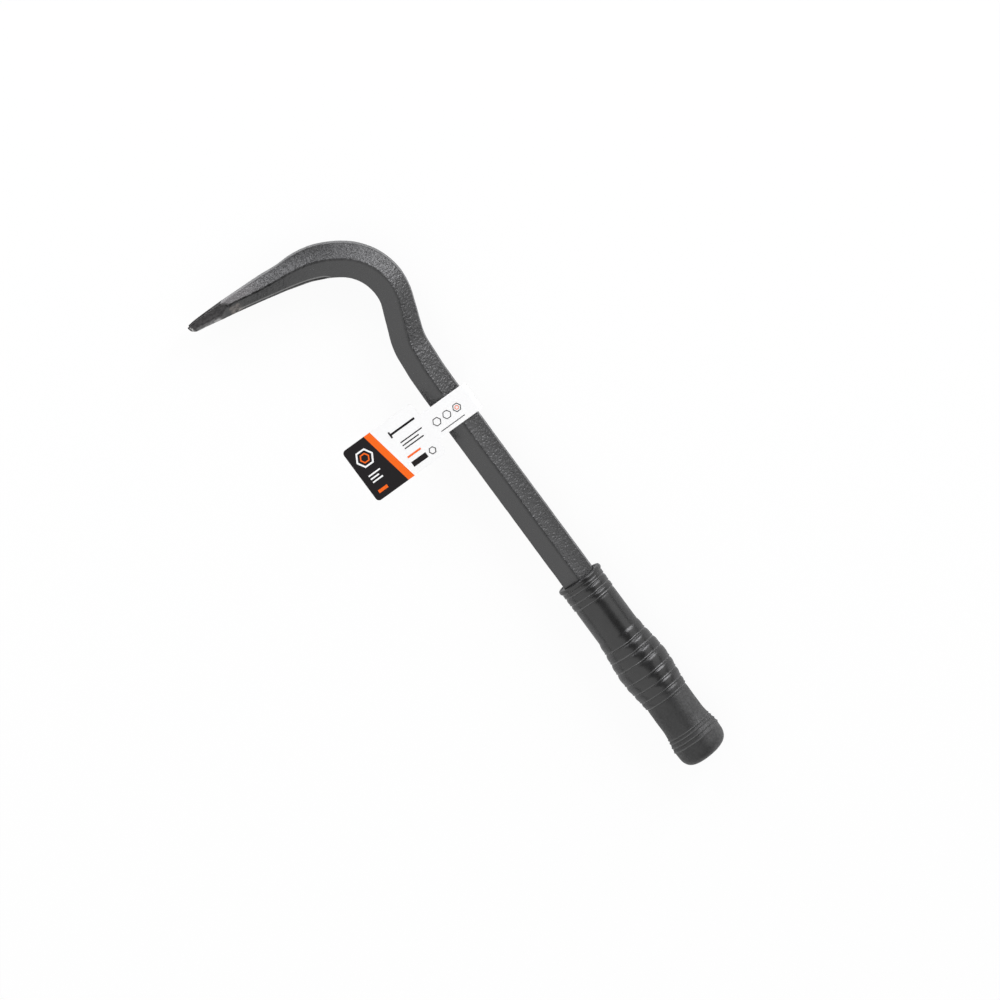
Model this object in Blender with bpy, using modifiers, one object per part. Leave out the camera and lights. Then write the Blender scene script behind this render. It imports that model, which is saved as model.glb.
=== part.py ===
"""Nail puller: a forged hexagonal bar bent to a hook with a notched claw, a ribbed grip and a card label.

The tool lies on its side on a level surface. +X runs along the shank towards the end of the grip, +Y points
to the outer side of the hook and +Z points up. While it is modelled, x = 0 is the mouth of the grip and
y = z = 0 is the middle of the shank. The empty that carries every piece then stands the tool on z = 0,
centred over the origin.
All sizes are in metres and all angles in radians.
"""

import math

import bmesh
import bpy
from mathutils import Matrix, Vector

# Forged bar: six flats, with a flat on the outer and inner side of the hook and a ridge on each side face
BAR_ACROSS_FLATS = 0.0160
BAR_EDGE_FLAT = 0.0006  # narrow flat left on each edge of the rolled bar
SHANK_LENGTH = 0.1083  # bare straight bar from the grip's mouth to the neck

# Hook, as the line through the middle of the bar from the shank to the claw
NECK_EASE_RADIUS = 0.2000
NECK_EASE_ANGLE = math.radians(6.2)
NECK_RADIUS = 0.0300
NECK_ANGLE = math.radians(15.0)
RISE_LENGTH = 0.0163
CROWN_RADIUS = 0.0090
CROWN_ANGLE = math.radians(4.0)
BEND_RADIUS = 0.0261
BEND_ANGLE = math.radians(69.4)
RUNOUT_RADIUS = 0.0442
RUNOUT_ANGLE = math.radians(31.0)
ARM_LENGTH = 0.0549

# What the press left on the bar: each mark's place is its distance back from the tip of the claw
NECK_MARK_SETBACK = 0.1157
NECK_MARK_LENGTH = 0.0134
NECK_MARK_DEPTH = 0.00058  # squeezed in on both sides
ARM_HOLLOW_SETBACK = 0.0480
ARM_HOLLOW_LENGTH = 0.0065
ARM_HOLLOW_DEPTH = 0.00045  # only on the outer side
ARM_SWELL_SETBACK = 0.0560
ARM_SWELL_LENGTH = 0.0065
ARM_SWELL_HEIGHT = 0.00035  # only on the inner side

# Drawn-down arm, from full bar to the claw's edge
TAPER_LENGTH = 0.0660
TIP_OUTER_DEPTH = 0.0015  # metal left on the outer side of the middle line at the tip
TIP_INNER_DEPTH = 0.0019  # metal left on the inner side of it
OUTER_TAPER_POWER = 0.755
INNER_TAPER_POWER = 1.44
TIP_RIDGE_HALF_WIDTH = 0.0102
TIP_OUTER_FLAT_HALF_WIDTH = 0.0078
TIP_INNER_FLAT_HALF_WIDTH = 0.0078
BEND_RIDGE_LEAN = 0.0009  # how far bending pushed the side ridge to the outer side, from the neck on
BEND_RIDGE_LEAN_START = 0.1450
BEND_RIDGE_LEAN_LENGTH = 0.0350
CLAW_RIDGE_LEAN = 0.0021  # the same at the claw, where drawing the arm down pushed it further
CLAW_RIDGE_LEAN_START = 0.0400
CLAW_RIDGE_LEAN_LENGTH = 0.0200
RIDGE_COVER = 0.0006  # least metal between the ridge and the outer flat
BEND_INNER_EDGE_FLAT = 0.0016  # pressed flat on the inner edges of the arm's root
BEND_INNER_EDGE_FROM = 0.0760  # where that flat starts and ends, back from the tip
BEND_INNER_EDGE_TO = 0.0360

# Ground claw
CLAW_ROOT_HALF_WIDTH = 0.0069
CLAW_TIP_HALF_WIDTH = 0.0064
CLAW_GRIND_LENGTH = 0.0180
CLAW_GRIND_RUN_IN_RADIUS = 0.0045
CLAW_GRIND_RUN_IN_ANGLE = math.radians(75.0)  # how far round the wheel the run-in reaches
CLAW_CORNER_CUT = 0.0012
CLAW_EDGE_BEVEL = 0.0013
CLAW_EDGE_BEVEL_LENGTH = 0.0150
CLAW_END_SLOPE_LENGTH = 0.0007
CLAW_END_BEVEL_LENGTH = 0.0021
CLAW_END_BEVEL_DEPTH = 0.0015

# Nail slot
SLOT_MOUTH_WIDTH = 0.0074
SLOT_ROOT_WIDTH = 0.0024
SLOT_DEPTH = 0.0130
SLOT_BEVEL_WIDTH = 0.0010
SLOT_BEVEL_DEPTH = 0.0012

# Handle grip
GRIP_LENGTH = 0.1040
GRIP_RADIUS = 0.01055
GRIP_END_WALL = 0.0050
GRIP_SOCKET_GAP = 0.0003
GRIP_MOUTH_RADIUS = 0.0098
GRIP_MOUTH_DEPTH = 0.0035
LIP_RADIUS = 0.01145
LIP_LENGTH = 0.0031
MOUTH_RING_ENDS = (0.0056, 0.0096, 0.0128)
MOUTH_RING_RISE = 0.0003
SWELL_START = 0.0290
SWELL_MIDDLE = 0.0515
SWELL_END = 0.0715
SWELL_RISE = 0.00175
WAIST_RISE = 0.0003
RIB_ENDS = (0.0373, 0.0425, 0.0479, 0.0549, 0.0604, 0.0653, 0.0693)
RIB_CROWN = 0.00035
GROOVE_DEPTH = 0.00045
GROOVE_WIDTH = 0.0009
GROOVE_LIP_RISE = 0.0001  # small lip on the mouth side of each groove
BULB_START = 0.0830
BULB_MIDDLE = 0.0940
BULB_RISE = 0.00185
BULB_RING_ENDS = (0.0878, 0.0910, 0.0942)
BULB_RING_RISE = 0.00015
BULB_CORNER_LENGTH = 0.0095
END_FLAT_RADIUS = 0.0030
GRIP_SIDES = 32

# Card label: a printed front sheet and a strap that goes round the back of the bar
LABEL_SETBACK = 0.0972  # from the grip's mouth to the middle of the label
LABEL_CLEARANCE = 0.0003
LABEL_SHEET_THICKNESS = 0.0005
LABEL_STRAP_THICKNESS = 0.0004
LABEL_STRAP_WIDTH = 0.0143
LABEL_SLACK = 0.0031  # how far the loop stands off the outer flat
LABEL_CORNER_EASE = 0.0015  # how far its folds stand off the bar's flats behind the bar
LABEL_RIDGE_EASE = 0.0010  # the same over the ridge
LABEL_OVERLAP = 0.00005  # how deep the strap lies in the glue on the sheet
FLAG_WIDTH = 0.0282
FLAG_LENGTH = 0.0390
FLAG_CORNER_RADIUS = 0.0019
FLAG_SETBACK = 0.0056  # from the inner flat to the near edge of the flag
STRAP_TAIL_LENGTH = 0.0080
STRAP_FOLD_RADIUS = 0.0016
STRAP_FOLD_SEGMENTS = 3

# Fineness of the curved shapes
TURN_STEP = math.radians(4.0)
TAPER_STEP = 0.0033
ARC_POINTS = 6
LIP_TURN_STEP = 20
RING_SHARES = (0.2, 0.5, 0.8)  # places of the points over each ring of the grip
SMOOTH_ANGLE = math.radians(30.0)  # edges sharper than this stay sharp
ROUNDING = 1e-6
REACH = 0.0200  # how far a cutting shape runs past what it cuts
MERGE_DISTANCE = 0.00001

# What follows from the sizes above
HALF_FLATS = BAR_ACROSS_FLATS / 2
HALF_FACE = HALF_FLATS / math.sqrt(3)
HALF_CORNERS = 2 * HALF_FACE
GRIP_SOCKET_END = GRIP_LENGTH - GRIP_END_WALL
TANG_LENGTH = GRIP_SOCKET_END - GRIP_SOCKET_GAP


def clear_scene():
    """Removes every object of the open file."""
    for old in list(bpy.data.objects):
        bpy.data.objects.remove(old, do_unlink=True)


def new_collection(name):
    """Adds a collection to the scene and returns it."""
    collection = bpy.data.collections.new(name)
    bpy.context.scene.collection.children.link(collection)
    return collection


def new_material(name, colour, roughness, metallic=0.0):
    """Returns a Principled material of one colour."""
    material = bpy.data.materials.new(name)
    material.use_nodes = True
    shader = material.node_tree.nodes["Principled BSDF"]
    shader.inputs["Base Color"].default_value = (*colour, 1.0)
    shader.inputs["Roughness"].default_value = roughness
    shader.inputs["Metallic"].default_value = metallic
    return material


def new_object(name, bm, collection, material=None):
    """Turns a bmesh into a named object in a collection, with its faces pointing out."""
    bmesh.ops.recalc_face_normals(bm, faces=bm.faces[:])
    mesh = bpy.data.meshes.new(name)
    bm.to_mesh(mesh)
    bm.free()
    made = bpy.data.objects.new(name, mesh)
    collection.objects.link(made)
    if material:
        mesh.materials.append(material)
    return made


def smooth_round_faces(made):
    """Shades an object smooth, except across its sharp edges."""
    made.data.shade_smooth()
    made.data.set_sharp_from_angle(angle=SMOOTH_ANGLE)


def flat_shape(name, outline, thickness, collection, place=Matrix()):
    """Makes a plate from a closed outline of (x, y) points, its middle plane in the placing's xy plane."""
    curve = bpy.data.curves.new(name, "CURVE")
    curve.dimensions = "2D"
    curve.fill_mode = "BOTH"
    curve.extrude = thickness / 2
    spline = curve.splines.new("POLY")
    spline.points.add(len(outline) - 1)
    for point, (x, y) in zip(spline.points, outline):
        point.co = (x, y, 0, 1)
    spline.use_cyclic_u = True
    drawn = bpy.data.objects.new(name, curve)
    collection.objects.link(drawn)
    bpy.context.view_layer.update()
    solid = bpy.data.meshes.new_from_object(drawn.evaluated_get(bpy.context.evaluated_depsgraph_get()))
    bpy.data.objects.remove(drawn)
    bm = bmesh.new()
    bm.from_mesh(solid)
    bmesh.ops.remove_doubles(bm, verts=bm.verts[:], dist=MERGE_DISTANCE)
    bmesh.ops.transform(bm, matrix=place, verts=bm.verts[:])
    return new_object(name, bm, collection)


def loft(name, rings, collection, material=None):
    """Makes a solid from rings that each have as many points, joined in turn and closed at both ends."""
    bm = bmesh.new()
    loops = [[bm.verts.new(point) for point in ring] for ring in rings]
    for loop, following in zip(loops, loops[1:]):
        for i in range(len(loop)):
            bm.faces.new((loop[i - 1], loop[i], following[i], following[i - 1]))
    bm.faces.new(loops[0])
    bm.faces.new(loops[-1])
    return new_object(name, bm, collection, material)


def hide_cutter(cutter):
    """Marks an object as a guide that isn't part of the tool."""
    cutter.hide_render = True
    cutter.display_type = "WIRE"


def boolean(target, operand, operation):
    """Cuts or joins the target with another mesh object."""
    modifier = target.modifiers.new(f"{operation} {operand.name}".lower(), "BOOLEAN")
    modifier.operation = operation
    modifier.solver = "EXACT"
    modifier.object = operand
    hide_cutter(operand)


def mirrored(outline):
    """Returns an outline of (x, z) points turned over to the other side face."""
    return [(x, -z) for x, z in reversed(outline)]


def arc(centre, radius, start, end, points=ARC_POINTS):
    """Returns points on an arc, both ends included."""
    steps = [start + (end - start) * i / (points - 1) for i in range(points)]
    return [(centre[0] + radius * math.cos(a), centre[1] + radius * math.sin(a)) for a in steps]


def blend(share):
    """Smooth step from 0 to 1."""
    share = min(max(share, 0.0), 1.0)
    return share * share * (3 - 2 * share)


class Station:
    """One place on the line through the middle of the bar: its point, heading and distance run so far."""

    def __init__(self, point, heading, distance):
        self.point = point
        self.heading = heading
        self.distance = distance

    @property
    def forward(self):
        return Vector((math.cos(self.heading), math.sin(self.heading), 0))

    @property
    def outward(self):
        return Vector((math.sin(self.heading), -math.cos(self.heading), 0))


def hook_segments():
    """Returns the hook as (length, turn) pairs. A positive turn is to the left, towards the claw."""
    return [
        (SHANK_LENGTH + TANG_LENGTH, 0.0),
        (NECK_EASE_RADIUS * NECK_EASE_ANGLE, -NECK_EASE_ANGLE),
        (NECK_RADIUS * NECK_ANGLE, -NECK_ANGLE),
        (RISE_LENGTH, 0.0),
        (CROWN_RADIUS * CROWN_ANGLE, CROWN_ANGLE),
        (BEND_RADIUS * BEND_ANGLE, BEND_ANGLE),
        (RUNOUT_RADIUS * RUNOUT_ANGLE, RUNOUT_ANGLE),
        (ARM_LENGTH, 0.0),
    ]


def bar_stations():
    """Walks from the end of the tang to the tip of the claw and returns the stations on the way."""
    total = sum(length for length, _ in hook_segments())
    here = Station(Vector((TANG_LENGTH, 0, 0)), math.pi, 0.0)
    stations = [here]
    for length, turn in hook_segments():
        tapers = here.distance + length > total - TAPER_LENGTH
        steps = max(1, math.ceil(abs(turn) / TURN_STEP - ROUNDING))
        if tapers:
            steps = max(steps, math.ceil(length / TAPER_STEP))
        for _ in range(steps):
            part, angle = length / steps, turn / steps
            chord = part if angle == 0 else 2 * (part / angle) * math.sin(angle / 2)
            middle = here.heading + angle / 2
            point = here.point + chord * Vector((math.cos(middle), math.sin(middle), 0))
            here = Station(point, here.heading + angle, here.distance + part)
            stations.append(here)
    return stations


def mark(back, setback, length):
    """Returns how strongly a press mark shows at a distance back from the tip, from 0 to 1."""
    return math.exp(-(((back - setback) / length) ** 2))


def taper_depths(back):
    """Returns the metal on the outer and inner side of the middle line, at a distance back from the tip."""
    left = min(back / TAPER_LENGTH, 1.0)
    outer = TIP_OUTER_DEPTH + (HALF_FLATS - TIP_OUTER_DEPTH) * left**OUTER_TAPER_POWER
    inner = TIP_INNER_DEPTH + (HALF_FLATS - TIP_INNER_DEPTH) * left**INNER_TAPER_POWER
    squeeze = NECK_MARK_DEPTH * mark(back, NECK_MARK_SETBACK, NECK_MARK_LENGTH)
    outer -= squeeze + ARM_HOLLOW_DEPTH * mark(back, ARM_HOLLOW_SETBACK, ARM_HOLLOW_LENGTH)
    inner += ARM_SWELL_HEIGHT * mark(back, ARM_SWELL_SETBACK, ARM_SWELL_LENGTH) - squeeze
    return outer, inner


def inner_edge_flat(back):
    """Returns the width of the flat on the bar's inner edges, which the press widened at the arm's root."""
    span = BEND_INNER_EDGE_FROM - BEND_INNER_EDGE_TO
    share = min(max((BEND_INNER_EDGE_FROM - back) / span, 0.0), 1.0)
    return BAR_EDGE_FLAT + (BEND_INNER_EDGE_FLAT - BAR_EDGE_FLAT) * math.sin(math.pi * share) ** 2


def bar_section(back):
    """Returns the bar's outline as (outward, z) points, at a distance back from the tip."""
    outer, inner = taper_depths(back)
    drawn = 1.0 - min(back / TAPER_LENGTH, 1.0)
    ridge = HALF_CORNERS + (TIP_RIDGE_HALF_WIDTH - HALF_CORNERS) * drawn
    outer_flat = HALF_FACE + (TIP_OUTER_FLAT_HALF_WIDTH - HALF_FACE) * drawn
    inner_flat = HALF_FACE + (TIP_INNER_FLAT_HALF_WIDTH - HALF_FACE) * drawn
    lean = BEND_RIDGE_LEAN * blend((BEND_RIDGE_LEAN_START - back) / BEND_RIDGE_LEAN_LENGTH)
    further = blend((CLAW_RIDGE_LEAN_START - back) / CLAW_RIDGE_LEAN_LENGTH)
    lean = min(lean + (CLAW_RIDGE_LEAN - BEND_RIDGE_LEAN) * further, outer - RIDGE_COVER)
    edge = BAR_EDGE_FLAT
    inner_edge = inner_edge_flat(back)
    corners = [
        (outer, outer_flat, edge),
        (lean, ridge, edge),
        (-inner, inner_flat, inner_edge),
        (-inner, -inner_flat, inner_edge),
        (lean, -ridge, edge),
        (outer, -outer_flat, edge),
    ]
    outline = []
    for i, (out, z, flat) in enumerate(corners):
        corner = Vector((out, z))
        before = Vector(corners[i - 1][:2])
        after = Vector(corners[(i + 1) % len(corners)][:2])
        outline.append(corner + (before - corner).normalized() * flat / 2)
        outline.append(corner + (after - corner).normalized() * flat / 2)
    return outline


def make_bar_body(collection, material):
    """Lofts the bar's section along the hook."""
    stations = bar_stations()
    total = stations[-1].distance
    rings = []
    for station in stations:
        section = bar_section(total - station.distance)
        rings.append([station.point + station.outward * out + Vector((0, 0, z)) for out, z in section])
    return loft("bar", rings, collection, material), stations[-1]


def arm_frame(tip):
    """Returns the placing of shapes at the claw: local x runs to the tip, y to the inner side, z stays up."""
    return Matrix.Translation(tip.point) @ Matrix.Rotation(tip.heading, 4, "Z")


def side_grind_outline():
    """Returns the metal ground off one side face: a curved run-in, then a flat that ends in a cut corner."""
    slope = (CLAW_ROOT_HALF_WIDTH - CLAW_TIP_HALF_WIDTH) / CLAW_GRIND_LENGTH
    radius = CLAW_GRIND_RUN_IN_RADIUS
    lowest = math.radians(270.0)
    wheel = (-CLAW_GRIND_LENGTH, CLAW_ROOT_HALF_WIDTH + radius)
    run_in = arc(wheel, radius, lowest - CLAW_GRIND_RUN_IN_ANGLE, lowest)
    corner = CLAW_TIP_HALF_WIDTH + slope * CLAW_CORNER_CUT
    return [
        *run_in,
        (-CLAW_CORNER_CUT, corner),
        (REACH, corner - CLAW_CORNER_CUT - REACH),
        (REACH, CLAW_ROOT_HALF_WIDTH + REACH),
        (-CLAW_GRIND_LENGTH - radius, CLAW_ROOT_HALF_WIDTH + REACH),
    ]


def slot_outline(extra=0.0):
    """Returns the nail slot, wider by the extra on each side: a V with a round root."""
    root = SLOT_ROOT_WIDTH / 2 + extra
    mouth = SLOT_MOUTH_WIDTH / 2 + extra
    slope = (mouth - root) / SLOT_DEPTH
    far = mouth + slope * REACH
    centre = (-SLOT_DEPTH, 0.0)
    back = arc(centre, root, math.radians(270), math.radians(90), 2 * ARC_POINTS - 1)
    return [(REACH, -far), *back, (REACH, far)]


def slot_cutter(collection, frame):
    """Makes the cutter of the nail slot: its outline straight through, then spread to the inner rim."""
    bevel_start = taper_depths(SLOT_DEPTH)[1] - SLOT_BEVEL_DEPTH
    spread = SLOT_BEVEL_WIDTH * (1 + REACH / SLOT_BEVEL_DEPTH)
    levels = ((-REACH, 0.0), (bevel_start, 0.0), (bevel_start + SLOT_BEVEL_DEPTH + REACH, spread))
    rings = [[frame @ Vector((x, y, z)) for x, z in slot_outline(extra)] for y, extra in levels]
    return loft("slot_cutter", rings, collection)


def edge_bevel_outline():
    """Returns the metal ground off an inner edge of the claw, seen square to the edge's diagonal."""
    root_depth = taper_depths(CLAW_EDGE_BEVEL_LENGTH)[1]
    slope = (CLAW_ROOT_HALF_WIDTH - CLAW_TIP_HALF_WIDTH) / CLAW_GRIND_LENGTH
    root_width = CLAW_TIP_HALF_WIDTH + slope * CLAW_EDGE_BEVEL_LENGTH
    start = (root_depth + root_width) / math.sqrt(2)
    end = (TIP_INNER_DEPTH + CLAW_TIP_HALF_WIDTH - CLAW_EDGE_BEVEL) / math.sqrt(2)
    fall = (start - end) / CLAW_EDGE_BEVEL_LENGTH
    return [
        (-CLAW_EDGE_BEVEL_LENGTH, start),
        (REACH, end - fall * REACH),
        (REACH, start + REACH),
        (-CLAW_EDGE_BEVEL_LENGTH, start + REACH),
    ]


def end_grind_outline():
    """Returns the metal ground off the end of the claw, as (along, inner) points."""
    inner = TIP_INNER_DEPTH
    knee = (-CLAW_END_SLOPE_LENGTH, inner - CLAW_END_BEVEL_DEPTH)
    slope = CLAW_END_SLOPE_LENGTH / (TIP_OUTER_DEPTH + knee[1])
    heel = (knee[0] - CLAW_END_BEVEL_LENGTH, inner)
    rise = CLAW_END_BEVEL_LENGTH / CLAW_END_BEVEL_DEPTH
    return [
        (slope * REACH, -TIP_OUTER_DEPTH - REACH),
        knee,
        (heel[0] - rise * REACH, heel[1] + REACH),
        (REACH, heel[1] + REACH),
        (REACH, -TIP_OUTER_DEPTH - REACH),
    ]


def make_bar(parts, cutters, material):
    """Makes the forged bar: tang, shank, hook, and the claw with its ground faces and nail slot."""
    bar, tip = make_bar_body(parts, material)
    frame = arm_frame(tip)
    broadside = frame @ Matrix.Rotation(math.pi / 2, 4, "X")
    shapes = [
        flat_shape("side_grind_upper", side_grind_outline(), 2 * REACH, cutters, broadside),
        flat_shape("side_grind_lower", mirrored(side_grind_outline()), 2 * REACH, cutters, broadside),
        flat_shape("end_grind", end_grind_outline(), 2 * REACH, cutters, frame),
        slot_cutter(cutters, frame),
    ]
    for name, outline, side in (
        ("edge_bevel_upper", edge_bevel_outline(), 1),
        ("edge_bevel_lower", mirrored(edge_bevel_outline()), -1),
    ):
        diagonal = frame @ Matrix.Rotation(-side * math.pi / 4, 4, "X") @ Matrix.Rotation(math.pi / 2, 4, "X")
        shapes.append(flat_shape(name, outline, REACH, cutters, diagonal))
    for shape in shapes:
        boolean(bar, shape, "DIFFERENCE")
    return bar


def grip_envelope(x):
    """Returns the grip's radius without its ribs, at a distance from the mouth."""
    radius = GRIP_RADIUS
    radius += WAIST_RISE * blend((x - SWELL_START) / (SWELL_END - SWELL_START))
    if x < SWELL_MIDDLE:
        radius += SWELL_RISE * blend((x - SWELL_START) / (SWELL_MIDDLE - SWELL_START))
    else:
        radius += SWELL_RISE * blend((SWELL_END - x) / (SWELL_END - SWELL_MIDDLE))
    radius += (BULB_RISE - WAIST_RISE) * blend((x - BULB_START) / (BULB_MIDDLE - BULB_START))
    return radius


def ringed_stretch(start, ends, crown):
    """Returns (x, radius) points of rings that each bulge by the crown and end in a groove."""
    points = []
    half = GROOVE_WIDTH / 2
    for end in ends:
        length = end - start
        for share in RING_SHARES:
            x = start + half + (length - GROOVE_WIDTH) * share
            rise = crown * math.sin(math.pi * share)
            points.append((x, grip_envelope(x) + rise))
        points.append((end - half, grip_envelope(end) + GROOVE_LIP_RISE))
        points.append((end, grip_envelope(end) - GROOVE_DEPTH))
        points.append((end + half, grip_envelope(end)))
        start = end
    return points


def grip_profile():
    """Returns the grip's outer side as (x, radius) points from the mouth to the end."""
    floor = GRIP_RADIUS - GROOVE_DEPTH
    points = []
    for turn in range(0, 181, LIP_TURN_STEP):
        x = LIP_LENGTH / 2 * (1 - math.cos(math.radians(turn)))
        points.append((x, floor + (LIP_RADIUS - floor) * math.sqrt(max(math.sin(math.radians(turn)), 0.0))))
    points += ringed_stretch(LIP_LENGTH, MOUTH_RING_ENDS, MOUTH_RING_RISE)
    points.append((SWELL_START, grip_envelope(SWELL_START)))
    points += ringed_stretch(SWELL_START, RIB_ENDS, RIB_CROWN)
    points.append((BULB_START, grip_envelope(BULB_START)))
    points += ringed_stretch(BULB_START, BULB_RING_ENDS, BULB_RING_RISE)
    corner_start = GRIP_LENGTH - BULB_CORNER_LENGTH
    bulb = grip_envelope(corner_start)
    for i in range(1, ARC_POINTS + 1):
        turn = math.pi / 2 * i / ARC_POINTS
        x = corner_start + BULB_CORNER_LENGTH * math.sin(turn)
        points.append((x, END_FLAT_RADIUS + (bulb - END_FLAT_RADIUS) * math.cos(turn)))
    return points


def make_grip(parts, cutters, material):
    """Turns the grip's profile about the shank's line and cuts the six-sided socket for the tang."""
    outside = [(0.0, GRIP_LENGTH)] + [(radius, x) for x, radius in reversed(grip_profile())]
    inside = [(GRIP_MOUTH_RADIUS, 0.0), (GRIP_MOUTH_RADIUS, GRIP_MOUTH_DEPTH), (0.0, GRIP_MOUTH_DEPTH)]
    bm = bmesh.new()
    line = [bm.verts.new((radius, 0, height)) for radius, height in outside + inside]
    for a, b in zip(line, line[1:]):
        bm.edges.new((a, b))
    grip = new_object("grip", bm, parts, material)
    turn = grip.modifiers.new("turned profile", "SCREW")
    turn.axis = "Z"
    turn.angle = 2 * math.pi
    turn.screw_offset = 0
    turn.steps = GRIP_SIDES
    turn.render_steps = GRIP_SIDES
    turn.use_merge_vertices = True
    turn.merge_threshold = MERGE_DISTANCE
    turn.use_smooth_shade = True
    grip.rotation_euler = (0, math.pi / 2, 0)
    boolean(grip, make_socket(cutters), "DIFFERENCE")
    return grip


def make_socket(cutters):
    """Makes the six-sided space in the grip that the tang fills, with flats on its outer and inner side."""
    radius = HALF_CORNERS + 2 * GRIP_SOCKET_GAP / math.sqrt(3)
    length = GRIP_SOCKET_END + REACH
    middle = Matrix.Translation((GRIP_SOCKET_END - length / 2, 0, 0))
    along = Matrix.Rotation(math.pi / 2, 4, "Y") @ Matrix.Rotation(math.pi / 6, 4, "Z")
    bm = bmesh.new()
    bmesh.ops.create_cone(
        bm, cap_ends=True, segments=6, radius1=radius, radius2=radius, depth=length, matrix=middle @ along
    )
    return new_object("socket_cutter", bm, cutters)


def label_sheet_outline(strap_reach):
    """Returns the front sheet's outline: the flag with rounded corners, and the front of the strap."""
    half = FLAG_WIDTH / 2
    near = -HALF_FLATS - FLAG_SETBACK
    far = near - FLAG_LENGTH
    r = FLAG_CORNER_RADIUS
    strap = LABEL_STRAP_WIDTH / 2
    quarter = math.pi / 2
    return [
        (strap, strap_reach),
        (-strap, strap_reach),
        (-strap, near),
        *arc((-half + r, near - r), r, quarter, 2 * quarter),
        *arc((-half + r, far + r), r, 2 * quarter, 3 * quarter),
        *arc((half - r, far + r), r, 3 * quarter, 4 * quarter),
        *arc((half - r, near - r), r, 0, quarter),
        (strap, near),
    ]


def strap_path(sheet_height):
    """Returns the strap's folds as (y, z) points, from its tail behind the flag to the front sheet."""
    stand_off = LABEL_CLEARANCE + LABEL_STRAP_THICKNESS / 2
    pinch = -HALF_FLATS - FLAG_SETBACK - STRAP_FOLD_RADIUS
    behind = sheet_height - (LABEL_SHEET_THICKNESS + LABEL_STRAP_THICKNESS) / 2 + LABEL_OVERLAP
    outside = HALF_FLATS + LABEL_SLACK + LABEL_STRAP_THICKNESS / 2
    return [
        (pinch - STRAP_TAIL_LENGTH, behind),
        (pinch, behind),
        (-HALF_FLATS - LABEL_CORNER_EASE, -HALF_FACE - stand_off),
        (0.0, -HALF_CORNERS - LABEL_RIDGE_EASE),
        (HALF_FLATS + LABEL_CORNER_EASE, -HALF_FACE - stand_off),
        (outside, HALF_FACE),
        (outside, sheet_height),
        (HALF_FLATS / 2, sheet_height),
    ]


def make_label(parts, cutters, material):
    """Makes the card label: the front sheet, joined to the strap that runs round the back of the bar."""
    sheet_height = HALF_CORNERS + LABEL_CLEARANCE + LABEL_SHEET_THICKNESS / 2
    outline = label_sheet_outline(HALF_FLATS + LABEL_SLACK - STRAP_FOLD_RADIUS)
    level = Matrix.Translation((0, 0, sheet_height))
    label = flat_shape("label", outline, LABEL_SHEET_THICKNESS, parts, level)
    label.data.materials.append(material)

    bm = bmesh.new()
    half = LABEL_STRAP_WIDTH / 2 - LABEL_OVERLAP
    path = [bm.verts.new((-half, y, z)) for y, z in strap_path(sheet_height)]
    edges = [bm.edges.new(pair) for pair in zip(path, path[1:])]
    raised = bmesh.ops.extrude_edge_only(bm, edges=edges)["geom"]
    moved = [item for item in raised if isinstance(item, bmesh.types.BMVert)]
    bmesh.ops.translate(bm, verts=moved, vec=(2 * half, 0, 0))
    folds = [edge for edge in bm.edges if len(edge.link_faces) == 2]
    bmesh.ops.bevel(
        bm, geom=folds, offset=STRAP_FOLD_RADIUS, offset_type="OFFSET", segments=STRAP_FOLD_SEGMENTS,
        profile=0.5, affect="EDGES", material=-1, clamp_overlap=True,
    )
    strap = new_object("label_strap", bm, cutters)
    wall = strap.modifiers.new("card", "SOLIDIFY")
    wall.thickness = LABEL_STRAP_THICKNESS
    wall.offset = 0.0
    wall.use_even_offset = True
    boolean(label, strap, "UNION")
    for piece in (label, strap):
        piece.location.x = -LABEL_SETBACK
    return label


def stand_on_origin(root, pieces):
    """Moves the empty that carries the pieces, so that the tool stands on z = 0, centred over the origin."""
    bpy.context.view_layer.update()
    graph = bpy.context.evaluated_depsgraph_get()
    corners = []
    for piece in pieces:
        solid = piece.evaluated_get(graph)
        corners += [solid.matrix_world @ vertex.co for vertex in solid.to_mesh().vertices]
        solid.to_mesh_clear()
    low = Vector([min(corner[i] for corner in corners) for i in range(3)])
    high = Vector([max(corner[i] for corner in corners) for i in range(3)])
    root.location = (-(low.x + high.x) / 2, -(low.y + high.y) / 2, -low.z)
    bpy.context.view_layer.update()


def main():
    """Builds the whole tool."""
    clear_scene()
    parts = new_collection("nail_puller")
    cutters = new_collection("cutters")
    steel = new_material("hammered grey paint", (0.105, 0.105, 0.112), 0.42, 0.35)
    rubber = new_material("charcoal vinyl", (0.060, 0.062, 0.065), 0.55)
    card = new_material("white card", (0.900, 0.900, 0.890), 0.40)
    bar = make_bar(parts, cutters, steel)
    grip = make_grip(parts, cutters, rubber)
    label = make_label(parts, cutters, card)
    for piece in (bar, grip):
        smooth_round_faces(piece)
    root = bpy.data.objects.new("nail_puller_root", None)
    parts.objects.link(root)
    for piece in [*parts.objects, *cutters.objects]:
        if piece is not root:
            piece.parent = root
    stand_on_origin(root, (bar, grip, label))


main()
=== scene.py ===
"""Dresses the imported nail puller: a forged hexagonal bar, a ribbed grip and a folded card label.

Sizes are in metres unless they say otherwise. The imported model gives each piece's place: the shank lies
along X, the outer side of the hook faces +Y, and the tool lies on its side on a pale floor.
"""

from __future__ import annotations

import logging
import math
from dataclasses import dataclass, field
from enum import Enum

import bmesh
import bpy
from bmesh.types import BMEdge, BMesh, BMFace, BMVert
from bpy.types import ID, Material, Mesh, MeshVertex, Object
from bpy.types import NodeSocket as Socket
from mathutils import Matrix, Vector, noise

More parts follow.
